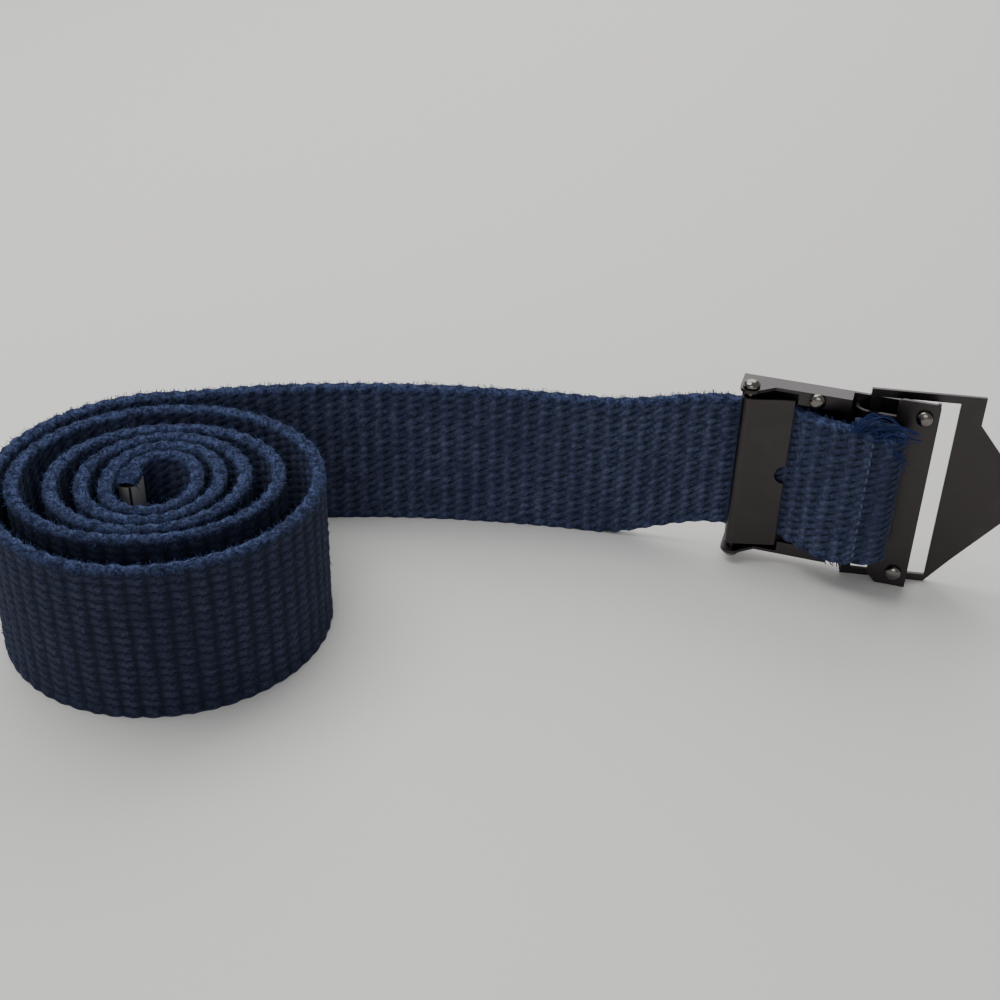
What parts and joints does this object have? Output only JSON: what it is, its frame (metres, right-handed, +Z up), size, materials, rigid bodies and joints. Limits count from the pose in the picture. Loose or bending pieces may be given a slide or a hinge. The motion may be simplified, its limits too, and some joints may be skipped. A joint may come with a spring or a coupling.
{
  "type": "canvas web belt with clamp buckle",
  "caption": "Cotton web belt rolled up on its long edge, with a gunmetal clamp buckle seen from its body side and a folded metal tip in the middle of the roll.",
  "frame": {"origin": "middle of the footprint, on the surface that the belt stands on", "axes": "+X along the belt from the roll to the buckle, +Y from the body side of the buckle to its front, +Z up across the web's width"},
  "size_m": [0.24, 0.0826, 0.0518],
  "materials": {
    "web": "coarse navy cotton weave with a fuzzy surface",
    "buckle_metal": "satin gunmetal plating",
    "rivet_metal": "polished gunmetal plating",
    "tip_metal": "polished nickel plating"
  },
  "bodies": {
    "belt": {"web_strap": "web", "web_tip": "tip_metal", "buckle_frame": "buckle_metal", "clamp_pin": "rivet_metal", "back_bracket": "buckle_metal", "lip_rivet": "rivet_metal", "bracket_rivet_upper": "rivet_metal", "bracket_rivet_lower": "rivet_metal"},
    "clamp_flap": {"clamp_flap": "buckle_metal"},
    "front_plate": {"front_plate": "buckle_metal"}
  },
  "joints": [
    {"name": "clamp_hinge", "type": "hinge", "parent": "belt", "child": "clamp_flap", "pos_m": [0.05267, 0.02322, 0.0259], "axis": [0, 0, -1], "range_deg": [0, 110]},
    {"name": "plate_hinge", "type": "hinge", "parent": "belt", "child": "front_plate", "pos_m": [0.08062, 0.01802, 0.0259], "axis": [0, 0, 1], "range_deg": [-9, 100]}
  ]
}
